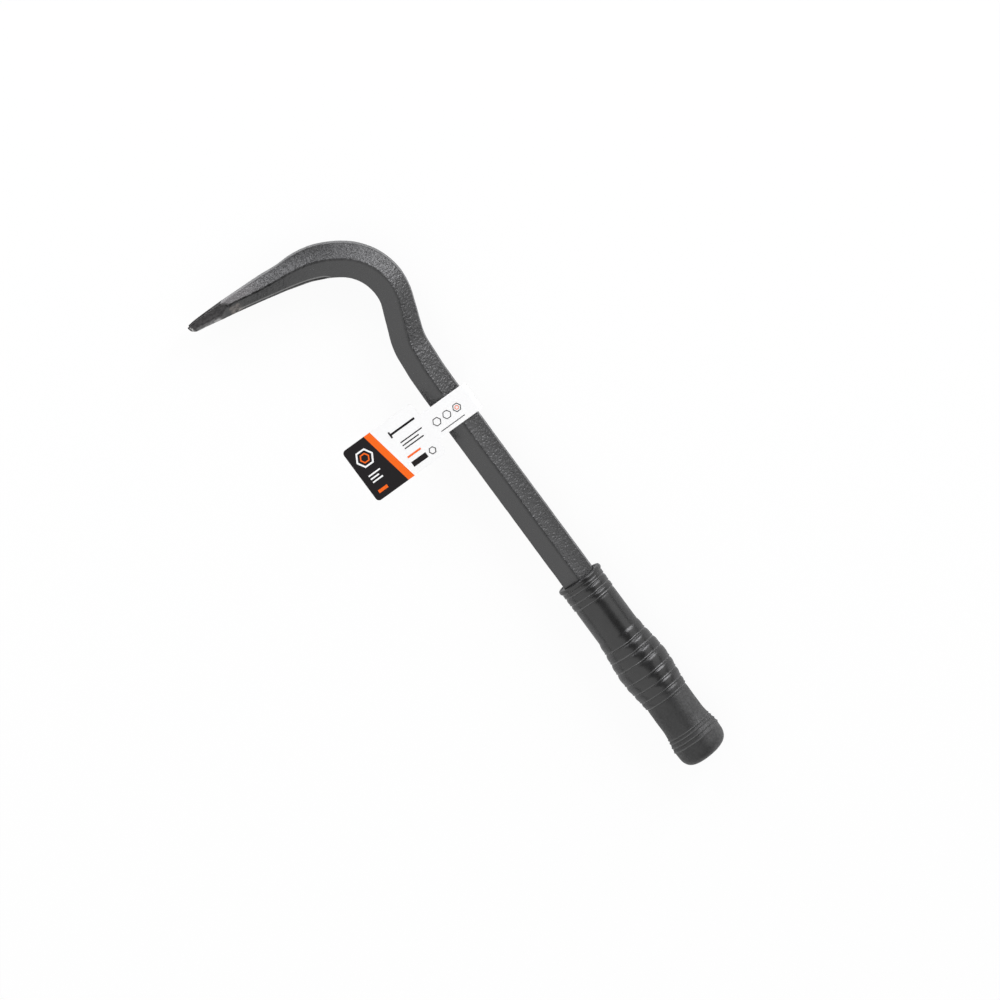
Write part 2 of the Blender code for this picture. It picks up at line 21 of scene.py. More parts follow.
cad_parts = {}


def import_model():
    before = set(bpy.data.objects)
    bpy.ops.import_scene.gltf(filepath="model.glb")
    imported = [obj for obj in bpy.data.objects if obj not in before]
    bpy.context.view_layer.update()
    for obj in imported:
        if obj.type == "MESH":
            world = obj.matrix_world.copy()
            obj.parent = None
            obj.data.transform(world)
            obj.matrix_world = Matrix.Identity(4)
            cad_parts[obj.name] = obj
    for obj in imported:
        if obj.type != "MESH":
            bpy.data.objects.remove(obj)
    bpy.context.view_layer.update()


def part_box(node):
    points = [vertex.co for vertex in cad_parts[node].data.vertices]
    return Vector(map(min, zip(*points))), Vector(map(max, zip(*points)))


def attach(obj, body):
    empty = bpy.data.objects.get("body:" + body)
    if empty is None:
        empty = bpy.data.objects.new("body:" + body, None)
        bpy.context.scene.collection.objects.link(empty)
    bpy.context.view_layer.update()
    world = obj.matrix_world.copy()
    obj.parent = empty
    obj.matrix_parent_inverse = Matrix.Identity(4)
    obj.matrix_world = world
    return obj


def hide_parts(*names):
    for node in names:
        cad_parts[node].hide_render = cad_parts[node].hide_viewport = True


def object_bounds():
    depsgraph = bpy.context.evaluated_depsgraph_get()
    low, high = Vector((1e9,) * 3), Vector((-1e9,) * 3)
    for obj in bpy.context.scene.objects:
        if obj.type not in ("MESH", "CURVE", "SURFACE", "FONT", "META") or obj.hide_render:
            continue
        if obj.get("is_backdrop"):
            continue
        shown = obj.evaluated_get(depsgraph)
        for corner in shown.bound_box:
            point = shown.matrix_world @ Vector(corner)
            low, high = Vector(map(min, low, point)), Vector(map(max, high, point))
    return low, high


LOG = logging.getLogger("nail_puller")
MERGE_DISTANCE = 1e-6
ROUND = {"offset_type": "OFFSET", "profile": 0.5, "material": -1, "clamp_overlap": True}
MILLIMETRE = 0.001
FINE_DETAIL = 3.0

Triple = tuple[float, float, float]
Colour = Triple
Span = tuple[float, float]

FULL: Span = (0.0, 1.0)
COOL_WHITE: Colour = (0.97, 0.97, 1.0)


class Body(str, Enum):
    """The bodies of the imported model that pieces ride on."""

    TOOL = "tool"
    LABEL = "label"


class Slot(str, Enum):
    """The record's material slots."""

    PAINT = "hammered_paint"
    VINYL = "grip_vinyl"
    CARD = "card"


class Ink(Enum):
    """The inks on the card, in the order of the label's material slots."""

    NONE = 0
    BLACK = 1
    ORANGE = 2


class NodeBench:
    """Adds and joins the nodes of one material around its Principled shader."""

    def __init__(self, name: str) -> None:
        """Starts a material.

        Args:
            name: The material's name.
        """
        self.material = bpy.data.materials.new(name)
        self.material.use_nodes = True
        self.nodes = self.material.node_tree.nodes
        self.links = self.material.node_tree.links
        self.shader = self.nodes["Principled BSDF"]
        self.place = self.nodes.new("ShaderNodeTexCoord").outputs["Object"]

    def set(self, **values: float | Colour) -> None:
        """Sets uniform values on the shader's own sockets.

        Args:
            values: Values by socket name, with underscores for spaces.
        """
        for name, value in values.items():
            socket = self.shader.inputs[name.replace("_", " ")]
            socket.default_value = (*value, 1.0) if isinstance(value, tuple) else value

    def feed(self, name: str, source: Socket) -> None:
        """Joins a node's output to one of the shader's sockets."""
        self.links.new(source, self.shader.inputs[name])

    def grain(self, size: float, detail: float = 2.0, stretch: Triple = (1, 1, 1)) -> Socket:
        """Adds a noise.

        Args:
            size: The size of its spots.
            detail: How many finer layers it has.
            stretch: How much longer its spots are along each axis.

        Returns:
            The noise's value, about 0 to 1.
        """
        texture = self.nodes.new("ShaderNodeTexNoise")
        texture.inputs["Scale"].default_value = 1 / size
        texture.inputs["Detail"].default_value = detail
        mapping = self.nodes.new("ShaderNodeMapping")
        mapping.inputs["Scale"].default_value = tuple(1 / s for s in stretch)
        self.links.new(self.place, mapping.inputs["Vector"])
        self.links.new(mapping.outputs["Vector"], texture.inputs["Vector"])
        return texture.outputs["Fac"]

    def cells(self, size: float, softness: float) -> Socket:
        """Adds a pattern of soft round cells.

        Args:
            size: The size of a cell.
            softness: How much neighbouring cells run together, 0 to 1.

        Returns:
            The distance from the middle of the nearest cell.
        """
        texture = self.nodes.new("ShaderNodeTexVoronoi")
        texture.feature = "SMOOTH_F1"
        texture.inputs["Scale"].default_value = 1 / size
        texture.inputs["Smoothness"].default_value = softness
        self.links.new(self.place, texture.inputs["Vector"])
        return texture.outputs["Distance"]

    def mark(self, name: str) -> Socket:
        """Reads a value that the mesh holds at each point.

        Args:
            name: The value's name on the mesh.

        Returns:
            The value.
        """
        node = self.nodes.new("ShaderNodeAttribute")
        node.attribute_name = name
        return node.outputs["Fac"]

    def spread(self, source: Socket, span: Span = FULL, to: Span = FULL) -> Socket:
        """Maps a range of values to another, and holds them inside it.

        Args:
            source: The value.
            span: The range that is mapped.
            to: What the range's start and end become.

        Returns:
            The mapped value.
        """
        node = self.nodes.new("ShaderNodeMapRange")
        self.links.new(source, node.inputs["Value"])
        for name, value in zip(("From Min", "From Max", "To Min", "To Max"), (*span, *to)):
            node.inputs[name].default_value = value
        return node.outputs["Result"]

    def reckon(self, operation: str, first: Socket, second: Socket) -> Socket:
        """Joins two values by arithmetic.

        Args:
            operation: The Math node's name for it.
            first: A value.
            second: Another value.

        Returns:
            The result.
        """
        node = self.nodes.new("ShaderNodeMath")
        node.operation = operation
        self.links.new(first, node.inputs[0])
        self.links.new(second, node.inputs[1])
        return node.outputs["Value"]

    def product(self, first: Socket, second: Socket) -> Socket:
        """Multiplies two values."""
        return self.reckon("MULTIPLY", first, second)

    def mix(self, share: Socket, first: Colour | Socket, second: Colour | Socket) -> Socket:
        """Mixes two colours.

        Args:
            share: 0 for the first colour, 1 for the second.
            first: A colour or a node's output.
            second: A colour or a node's output.

        Returns:
            The mixed colour.
        """
        node = self.nodes.new("ShaderNodeMix")
        node.data_type = "RGBA"
        self.links.new(share, node.inputs["Factor"])
        for name, value in (("A", first), ("B", second)):
            socket = next(s for s in node.inputs if s.name == name and s.type == "RGBA")
            if isinstance(value, tuple):
                socket.default_value = (*value, 1.0)
            else:
                self.links.new(value, socket)
        return next(s for s in node.outputs if s.type == "RGBA")

    def relief(self, *layers: tuple[Socket, float]) -> None:
        """Raises the surface by the layers.

        Args:
            layers: Pairs of a height, about 0 to 1, and its depth.
        """
        below = None
        for height, depth in layers:
            bump = self.nodes.new("ShaderNodeBump")
            bump.inputs["Strength"].default_value = 1.0
            bump.inputs["Distance"].default_value = depth
            self.links.new(height, bump.inputs["Height"])
            if below:
                self.links.new(below, bump.inputs["Normal"])
            below = bump.outputs["Normal"]
        self.feed("Normal", below)


@dataclass(frozen=True)
class HammeredPaint:
    """Dark grey hammer-finish paint, with worn places and unpainted metal at the claw, painted shade along
    the folds, beside the ridge and at the edges, and painted highlights and a painted sheen at the claw.
    """

    colour: Colour = (0.023, 0.023, 0.024)
    fleck: Colour = (0.045, 0.045, 0.046)
    # painted sheen: a paler paint on the outer facets near the claw
    outer_sheen: Colour = (0.098, 0.092, 0.094)
    # painted shade: a near-black that stands for the shade along the folds, beside the ridge, on the
    # ground claw's flank and along the arm's inner edge
    painted_shade: Colour = (0.006, 0.006, 0.006)
    oxide: Colour = (0.0435, 0.0412, 0.0415)
    streak: Colour = (0.015225, 0.01442, 0.014525)
    worn: Colour = (0.165, 0.146, 0.134)
    # unpainted metal at the claw, whose colour also paints highlights: on the honed edge, on the border of
    # the end's bevel and along the arm's inner edge
    bare_and_highlight: Colour = (0.450, 0.445, 0.440)
    roughness: Span = (0.22, 0.32)
    oxide_roughness: float = 0.25
    gloss: float = 0.80
    oxide_gloss: float = 0.45
    # the specular level inside the painted shade
    shade_gloss: float = 0.15
    dimple_size: float = 0.0011
    dimple_softness: float = 0.6
    dimple_depth: float = 0.00013
    grain_size: float = 0.0009
    grain_stretch: Triple = (1.0, 1.6, 1.6)
    grain_depth: float = 0.00026
    ground_relief: float = 0.35
    fleck_range: Span = (0.50, 0.70)
    fleck_share: float = 0.55
    streak_range: Span = (0.40, 0.60)
    chip_size: float = 0.0022
    worn_range: Span = (0.36, 0.60)
    # how the chips' noise breaks the unpainted metal and the painted highlights
    bare_and_highlight_range: Span = (0.35, 0.60)
    bare_and_highlight_least: float = 0.30
    satin_size: float = 0.004
    satin_range: Span = (0.3, 0.7)
    # a painted shade line and a painted highlight line along the arm's inner edge, as distances from it
    shade_line: Span = (0.0004, 0.0007)
    shade_line_share: float = 0.75
    highlight_line: Span = (0.0006, 0.0014)
    line_blend: float = 0.0002
    highlight_line_share: float = 0.36

    def make(self) -> Material:
        """Makes the paint's material.

        Returns:
            The material.
        """
        bench = NodeBench("hammered_grey_paint")
        ground = bench.mark("ground")
        rim = bench.mark("rim")
        grain = bench.grain(self.grain_size, FINE_DETAIL, self.grain_stretch)
        dimples = bench.cells(self.dimple_size, self.dimple_softness)
        keep = bench.product(bench.spread(ground, to=(1.0, self.ground_relief)), bench.mark("grit"))
        # painted shade: a dark line along the arm's inner edge
        shade_line = bench.spread(rim, self.shade_line, (self.shade_line_share, 0.0))
        # painted shade, from the mesh's marks and from a dark line along the arm's inner edge
        painted_shades = bench.reckon("MAXIMUM", bench.mark("painted_shade"), shade_line)
        flecks = bench.product(bench.spread(grain, self.fleck_range, (0.0, self.fleck_share)), keep)
        flecked = bench.mix(flecks, self.colour, self.fleck)
        # painted shade and a painted sheen over the flecked paint
        shaded_paint = bench.mix(painted_shades, bench.mix(bench.mark("outer_sheen"), flecked, self.outer_sheen), self.painted_shade)
        oxide = bench.mix(bench.spread(grain, self.streak_range), self.oxide, self.streak)
        chips = bench.grain(self.chip_size, FINE_DETAIL)
        worn = bench.product(bench.mark("worn"), bench.spread(chips, self.worn_range))
        edged = bench.mix(worn, bench.mix(ground, shaded_paint, oxide), self.worn)
        # unpainted metal and painted highlights, broken by the chips' noise
        polish = bench.spread(chips, self.bare_and_highlight_range, (self.bare_and_highlight_least, 1.0))
        polished = bench.product(bench.mark("bare_and_highlight"), polish)
        # painted highlight: a light line along the arm's inner edge, in the unpainted metal's colour
        start, end = self.highlight_line
        before = bench.spread(rim, (start, start + self.line_blend), (0.0, self.highlight_line_share))
        line = bench.product(before, bench.spread(rim, (end - self.line_blend, end), (1.0, 0.0)))
        # unpainted metal and painted highlights
        bare_and_highlight = bench.reckon("MAXIMUM", polished, line)
        bench.feed("Base Color", bench.mix(bare_and_highlight, edged, self.bare_and_highlight))
        satin = bench.spread(bench.grain(self.satin_size), self.satin_range, self.roughness)
        coarse = bench.spread(ground, to=(0.0, self.oxide_roughness))
        bench.feed("Roughness", bench.reckon("ADD", satin, coarse))
        gloss = bench.spread(ground, to=(self.gloss, self.oxide_gloss))
        # less specular where shade is painted
        shaded = bench.spread(painted_shades, to=(1.0, self.shade_gloss))
        # the export keeps the socket's own value, so it is set too
        bench.set(Specular_IOR_Level=self.gloss)
        bench.feed("Specular IOR Level", bench.product(gloss, shaded))
        skin = (bench.product(dimples, keep), self.dimple_depth)
        bench.relief(skin, (bench.product(grain, keep), self.grain_depth))
        return bench.material


@dataclass(frozen=True)
class GripVinyl:
    """Charcoal vinyl with a faint bloom, lips lightened by rub wear and a painted highlight, dust with a
    painted sheen at the dull end, and a fine moulded skin.
    """

    colour: Colour = (0.006, 0.006, 0.0062)
    bloom: Colour = (0.011, 0.011, 0.0112)
    # the lips' light colour: partly rub wear and partly a painted highlight on the crests before the
    # grooves
    rub_and_highlight: Colour = (0.075, 0.075, 0.075)
    # dust over the dull end, with a painted sheen that grows towards its +Y side
    dust_and_sheen: Colour = (0.060, 0.060, 0.060)
    gloss: float = 0.72
    dull_gloss: float = 0.52
    roughness: Span = (0.25, 0.31)
    dull_roughening: Span = (0.19, 0.23)
    cloud_size: float = 0.007
    cloud_range: Span = (0.35, 0.70)
    dust_patch_size: float = 0.0013
    dust_patch_range: Span = (0.35, 0.65)
    dust_and_sheen_share: Span = (0.65, 1.15)
    patch_size: float = 0.002
    patch_range: Span = (0.3, 0.7)
    skin_size: float = 0.0006
    skin_depth: float = 0.00001
    stipple_depth: float = 0.00014
    sag_size: float = 0.0045
    sag_depth: float = 0.00006

    def make(self) -> Material:
        """Makes the vinyl's material.

        Returns:
            The material.
        """
        bench = NodeBench("charcoal_vinyl")
        dull = bench.mark("dull")
        cloud = bench.spread(bench.grain(self.cloud_size, FINE_DETAIL), self.cloud_range)
        clouded = bench.mix(cloud, self.colour, self.bloom)
        # patches of dust and painted sheen
        dust_and_sheen_patches = bench.spread(bench.grain(self.dust_patch_size), self.dust_patch_range, self.dust_and_sheen_share)
        dust_and_sheen = bench.mix(bench.product(bench.mark("dust_and_painted_sheen"), dust_and_sheen_patches), clouded, self.dust_and_sheen)
        # rub wear and a painted highlight on the lips
        bench.feed("Base Color", bench.mix(bench.mark("rub_and_highlight"), dust_and_sheen, self.rub_and_highlight))
        patches = bench.grain(self.patch_size)
        glossy = bench.spread(patches, self.patch_range, self.roughness)
        rougher = bench.product(dull, bench.spread(patches, self.patch_range, self.dull_roughening))
        bench.feed("Roughness", bench.reckon("ADD", glossy, rougher))
        bench.set(Specular_IOR_Level=self.gloss)
        bench.feed("Specular IOR Level", bench.spread(dull, to=(self.gloss, self.dull_gloss)))
        skin = bench.grain(self.skin_size)
        sag = (bench.grain(self.sag_size, 1.0), self.sag_depth)
        bench.relief(sag, (bench.product(skin, dull), self.stipple_depth), (skin, self.skin_depth))
        return bench.material


@dataclass(frozen=True)
class CoatedCard:
    """White coated card, plain or under one flat ink."""

    name: str
    colour: Colour
    roughness: float = 0.42
    gloss: float = 0.10
    fibre_size: float = 0.0006
    fibre_stretch: Triple = (1.0, 2.0, 1.0)
    fibre_range: Span = (0.4, 0.7)
    fibre_depth: float = 0.000004
    mottle: float = 0.97

    def make(self) -> Material:
        """Makes the card's material.

        Returns:
            The material.
        """
        bench = NodeBench(self.name)
        fibre = bench.grain(self.fibre_size, FINE_DETAIL, self.fibre_stretch)
        dull = tuple(channel * self.mottle for channel in self.colour)
        bench.feed("Base Color", bench.mix(bench.spread(fibre, self.fibre_range), self.colour, dull))
        bench.set(Roughness=self.roughness, Specular_IOR_Level=self.gloss)
        bench.relief((fibre, self.fibre_depth))
        return bench.material


INKS: dict[Ink, CoatedCard] = {
    Ink.NONE: CoatedCard("white_card", colour=(0.93, 0.93, 0.925)),
    Ink.BLACK: CoatedCard("black_ink", colour=(0.016, 0.014, 0.015), roughness=0.36),
    Ink.ORANGE: CoatedCard("orange_ink", colour=(0.93, 0.145, 0.014), roughness=0.36),
}


@dataclass(frozen=True)
class StudioPaper:
    """White paper under the tool, which the camera sees almost white and which keeps a soft shadow."""

    colour: Colour = (0.92, 0.92, 0.92)
    roughness: float = 0.9
    glow_share: float = 0.93

    def make(self) -> Material:
        """Makes the paper's material.

        Returns:
            The material.
        """
        bench = NodeBench("studio_paper")
        nodes, links = bench.nodes, bench.links
        bench.set(Base_Color=self.colour, Roughness=self.roughness, Specular_IOR_Level=0.0)
        glow = nodes.new("ShaderNodeEmission")
        path = nodes.new("ShaderNodeLightPath")
        share = bench.spread(path.outputs["Is Camera Ray"], to=(0.0, self.glow_share))
        mixed = nodes.new("ShaderNodeMixShader")
        links.new(share, mixed.inputs["Fac"])
        links.new(bench.shader.outputs["BSDF"], mixed.inputs[1])
        links.new(glow.outputs["Emission"], mixed.inputs[2])
        links.new(mixed.outputs["Shader"], nodes["Material Output"].inputs["Surface"])
        return bench.material


def rise(value: float, start: float, end: float) -> float:
    """Returns a smooth step: 0 as far as the start, 1 from the end on. The end may be the lower one."""
    share = min(max((value - start) / (end - start), 0.0), 1.0)
    return share * share * (3 - 2 * share)


def between(span: Span, share: float) -> float:
    """Returns the value at a share of the way from a span's start to its end."""
    return span[0] + (span[1] - span[0]) * share


def pick(items: list, kind: type) -> list:
    """Returns the items of one kind."""
    return [item for item in items if isinstance(item, kind)]


def find_middle(node: str) -> Vector:
    """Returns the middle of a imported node's box."""
    low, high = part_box(node)
    return (low + high) / 2


def stand(axes: tuple[Vector, Vector, Vector], place: Vector) -> Matrix:
    """Returns the matrix of an object that has these axes and this place."""
    return Matrix.Translation(place) @ Matrix(axes).transposed().to_4x4()


def add_object(name: str, data: BMesh | ID) -> Object:
    """Adds an object to the scene.

    Args:
        name: Its name.
        data: Its bmesh, which is freed, or its lamp or camera.

    Returns:
        The object.
    """
    if isinstance(data, BMesh):
        mesh = bpy.data.meshes.new(name)
        data.to_mesh(mesh)
        data.free()
        data = mesh
    item = bpy.data.objects.new(name, data)
    bpy.context.scene.collection.objects.link(item)
    return item


def new_piece(name: str, bm: BMesh, body: Body) -> Object:
    """Turns a bmesh into a piece that rides on a body.

    Args:
        name: The piece's name.
        bm: Its finished mesh, which is freed.
        body: The body that it rides on.

    Returns:
        The new object.
    """
    piece = add_object(name, bm)
    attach(piece, body.value)
    return piece


def write_marks(mesh: Mesh, rows: list[dict[str, float]]) -> None:
    """Keeps marks on a mesh's points, where its material reads them.

    Args:
        mesh: The mesh.
        rows: Each point's marks by name.
    """
    for name in rows[0]:
        values = [row[name] for row in rows]
        mesh.attributes.new(name, "FLOAT", "POINT").data.foreach_set("value", values)


class At(Enum):
    """What is measured at a point of the bar's surface."""

    BACK = "how far behind the claw's edge"
    INSIDE = "how far towards the inner side of the hook"
    OFF = "how far from the claw's middle line"
    ASIDE = "how far from the bar's middle plane"
    UP = "how far it faces up or down, 0 to 1"
    OUTWARD = "how far it faces the hook's outer side, 0 to 1"
    HOOKED = "how far it is on the hook, 0 to 1"
    FOLD = "how sharply the surface bends, in radians"
    EDGE = "how far outside the arm's inner edge"
    ACROSS = "how far inside the ground face's ragged border"
    AHEAD = "how far before the ground face's end"
    ASLANT = "how far from the border of the end's bevel"
    # how far the painted shade along the folds shows there
    UNBROKEN = "how far the creases show there, 0 to 1"


Point = dict[At, float]
Steps = tuple[tuple[At, float, float], ...]


def climb(point: Point, steps: Steps) -> float:
    """Returns the product of a point's smooth steps, each with where it starts and where it is whole."""
    return math.prod(rise(point[at], start, end) for at, start, end in steps)


@dataclass(frozen=True)
class BarSkin:
    """Where the bar's skin gets painted shade, grit, ground faces, wear, unpainted metal, painted
    highlights and a painted sheen.
    """

    heading: float = math.radians(263.2)
    hook: Span = (-0.0550, -0.0850)
    facing: Span = (-0.25, 0.25)
    grit_across: Span = (0.25, 1.0)
    grit_along: Span = (0.74, 1.35)
    # painted sheen on the outer facets, fading out away from the claw
    outer_sheen_run: Steps = ((At.BACK, 0.044, 0.026),)
    arm: Steps = ((At.BACK, 0.021, 0.026), (At.BACK, 0.074, 0.066))
    steep: Steps = ((At.UP, 0.6, 0.4),)
    rim_away: float = 0.004
    edge_start: float = 0.020
    edge_inset: float = 0.0028
    edge_taper: float = 0.10
    edge_bend: float = 0.046
    edge_bend_rate: float = 232.0
    # painted shade: dark lines along the folds of faces that face up or down, deepest at the bend and the
    # lower arm and broken by noise
    fold: Steps = ((At.FOLD, 0.10, 0.20), (At.UP, 0.75, 0.85))
    fold_depth: float = 0.3
    bend: Steps = ((At.BACK, 0.085, 0.065),)
    bend_depth: float = 0.3
    lower_arm: Steps = ((At.BACK, 0.055, 0.040),)
    lower_arm_depth: float = 0.4
    break_size: float = 0.0013
    break_least: float = 0.75
    break_share: float = 0.6
    # painted shade beside the ridge, on the outer facets of the shank and the crown
    ridge: Steps = ((At.ASIDE, 0.0088, 0.0046),)
    crown: Steps = ((At.BACK, 0.045, 0.055), (At.BACK, 0.080, 0.072))
    shank_shade: float = 0.26
    crown_shade: float = 0.42
    ground_length: float = 0.0218
    ground_run_in: float = 0.01875
    ground_foot: float = 0.0041
    ground_slant: float = 1.27
    ground_inset: Span = (0.00075, 0.00125)
    ground_widening: Span = (0.0115, 0.0165)
    ground_narrowing: float = 0.6
    ragged_size: float = 0.0012
    ragged_depth: float = 0.0003
    ground: Steps = ((At.ACROSS, -0.0002, 0.0002), (At.AHEAD, 0.0, 0.0002))
    # painted shade on the ground claw's flank
    flank: Steps = ((At.UP, 0.85, 0.75), (At.INSIDE, 0.0002, -0.0003))
    # unpainted metal on the honed claw edge, with a painted highlight that grows towards the hook's inner
    # side, and a thin painted highlight line on the border of the end's bevel
    honed: Steps = ((At.ACROSS, 0.0002, -0.0002), (At.UP, 0.1, 0.2))
    honed_run: Steps = ((At.BACK, 0.0012, 0.0052), (At.BACK, 0.0165, 0.0145))
    honed_highlight: Steps = ((At.INSIDE, 0.0015, 0.0020),)
    honed_highlight_share: Span = (0.15, 1.0)
    bevel_setback: float = 0.0017
    bevel_slant: float = 0.5
    bevel: Steps = ((At.ASLANT, 0.0004, 0.0001), (At.OFF, 0.0014, 0.0010))
    bevel_share: float = 1.6
    worn: Steps = ((At.BACK, 0.0205, 0.0225), (At.BACK, 0.0280, 0.0250), (At.INSIDE, -0.0008, -0.0003))

    def measure(self, vert: MeshVertex, tip: Vector, fold: float) -> Point:
        """Measures where a point of the bar lies.

        Args:
            vert: The point.
            tip: The middle of the claw's edge.
            fold: How sharply the eased solid bends there, in radians.

        Returns:
            Its measures.
        """
        forward = Vector((math.cos(self.heading), math.sin(self.heading), 0))
        back = (tip - vert.co).dot(forward)
        inside = (vert.co - tip).dot(Vector((-forward.y, forward.x, 0)))
        straight = self.edge_inset + self.edge_taper * (back - self.edge_start)
        edge = straight + self.edge_bend_rate * max(back - self.edge_bend, 0.0) ** 3
        inset = between(self.ground_inset, rise(back, *self.ground_widening))
        narrowed = self.ground_narrowing * max(back - self.ground_widening[1], 0.0)
        ragged = self.ragged_depth * noise.noise(vert.co / self.ragged_size)
        end = self.ground_run_in + (inside + self.ground_foot) * self.ground_slant
        broken = self.break_share * noise.noise(vert.co / self.break_size)
        return {
            At.BACK: back,
            At.INSIDE: inside,
            At.OFF: abs(inside),
            At.ASIDE: abs(vert.co.z - tip.z),
            At.UP: abs(vert.normal.z),
            At.OUTWARD: rise(vert.normal.y - vert.normal.x, *self.facing),
            At.HOOKED: rise(vert.co.x, *self.hook),
            At.FOLD: fold,
            At.EDGE: edge - inside,
            At.ACROSS: inset - narrowed - inside + ragged,
            At.AHEAD: end - back,
            At.ASLANT: abs(back - self.bevel_setback - self.bevel_slant * inside),
            At.UNBROKEN: min(self.break_least + broken, 1.0),
        }

    def darken(self, point: Point) -> float:
        """Finds how much painted shade a point gets: broken dark lines along the folds, and a painted
        shade beside the ridge.

        Args:
            point: Its measures.

        Returns:
            The darkness, 0 to 1.
        """
        if point[At.BACK] <= self.ground_length:
            return 0.0
        bend = self.bend_depth * climb(point, self.bend)
        depth = self.fold_depth + bend + self.lower_arm_depth * climb(point, self.lower_arm)
        shade = self.shank_shade * (1 - point[At.HOOKED]) + self.crown_shade * climb(point, self.crown)
        beside = shade * climb(point, self.ridge) * point[At.OUTWARD]
        return climb(point, self.fold) * point[At.UNBROKEN] * depth + beside

    def mark(self, point: Point) -> dict[str, float]:
        """Finds a point's marks, which the paint reads.

        Args:
            point: Its measures.

        Returns:
            Its marks by name. The rim is a distance, and the others are shares.
        """
        ground = climb(point, self.ground)
        honed = climb(point, self.honed + self.honed_run)
        honed_highlight = between(self.honed_highlight_share, climb(point, self.honed_highlight))
        away = 1 - climb(point, self.arm) + climb(point, self.steep)
        grit = between(self.grit_across, point[At.OUTWARD]) * between(self.grit_along, point[At.HOOKED])
        return {
            # painted shade along the folds, beside the ridge and on the ground claw's flank
            "painted_shade": max(self.darken(point), ground * climb(point, self.flank)),
            "grit": grit,
            "ground": ground,
            "worn": climb(point, self.worn),
            # unpainted metal on the honed edge with a painted highlight, and a painted highlight line on
            # the end's bevel
            "bare_and_highlight": max(honed * honed_highlight, self.bevel_share * climb(point, self.bevel)),
            "rim": max(point[At.EDGE], 0.0) + away * self.rim_away,
            # painted sheen on the outer facets near the claw
            "outer_sheen": point[At.OUTWARD] * climb(point, self.outer_sheen_run),
        }


@dataclass
class ForgedBar:
    """The forged bar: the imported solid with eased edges, forging waves and a hammered skin."""

    node: str = "bar"
    skin: BarSkin = BarSkin()
    tip_inset: float = 0.00186
    tip_over: float = 0.00018
    remesh_depth: int = 10
    remesh_scale: float = 0.56
    ease_steps: int = 2
    ease_share: float = 0.5
    wave_size: float = 0.0065
    wave_depth: float = 0.00006
    dent_size: float = 0.0016
    dent_depth: float = 0.00003

    def build(self, paint: Material) -> Object:
        """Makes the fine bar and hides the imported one.

        Args:
            paint: The bar's finish.

        Returns:
            The bar.
        """
        bm = self.remesh()
        folds = self.forge(bm)
        bar = new_piece("forged_bar", bm, Body.TOOL)
        bar.data.materials.append(paint)
        bar.data.shade_smooth()
        low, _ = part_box(self.node)
        tip = Vector((low.x + self.tip_inset, low.y - self.tip_over, find_middle(self.node).z))
        points = [self.skin.measure(vert, tip, fold) for vert, fold in zip(bar.data.vertices, folds)]
        write_marks(bar.data, [self.skin.mark(point) for point in points])
        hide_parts(self.node)
        return bar

    def remesh(self) -> BMesh:
        """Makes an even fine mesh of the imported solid.

        Returns:
            The new mesh.
        """
        blank = bmesh.new()
        blank.from_mesh(bpy.data.objects[self.node].data)
        bmesh.ops.remove_doubles(blank, verts=blank.verts[:], dist=MERGE_DISTANCE)
        holder = add_object("bar_blank", blank)
        remesh = holder.modifiers.new("even mesh", "REMESH")
        remesh.mode = "SHARP"
        remesh.octree_depth = self.remesh_depth
        remesh.scale = self.remesh_scale
        remesh.use_remove_disconnected = False
        bm = bmesh.new()
        bm.from_object(holder, bpy.context.evaluated_depsgraph_get())
        bpy.data.objects.remove(holder)
        return bm

    def forge(self, bm: BMesh) -> list[float]:
        """Eases the edges and adds the forging waves and dents.

        Args:
            bm: The bar's even mesh.

        Returns:
            How sharply the eased solid bends at each point, in radians.
        """
        axes = {"use_axis_x": True, "use_axis_y": True, "use_axis_z": True}
        for _ in range(self.ease_steps):
            bmesh.ops.smooth_vert(bm, verts=bm.verts[:], factor=self.ease_share, **axes)
        bm.normal_update()
        folds = [max(edge.calc_face_angle(0.0) for edge in vert.link_edges) for vert in bm.verts]
        for vert in bm.verts:
            wave = noise.noise(vert.co / self.wave_size)
            dent = noise.noise(vert.co / self.dent_size)
            vert.co += vert.normal * (wave * self.wave_depth + dent * self.dent_depth)
        return folds


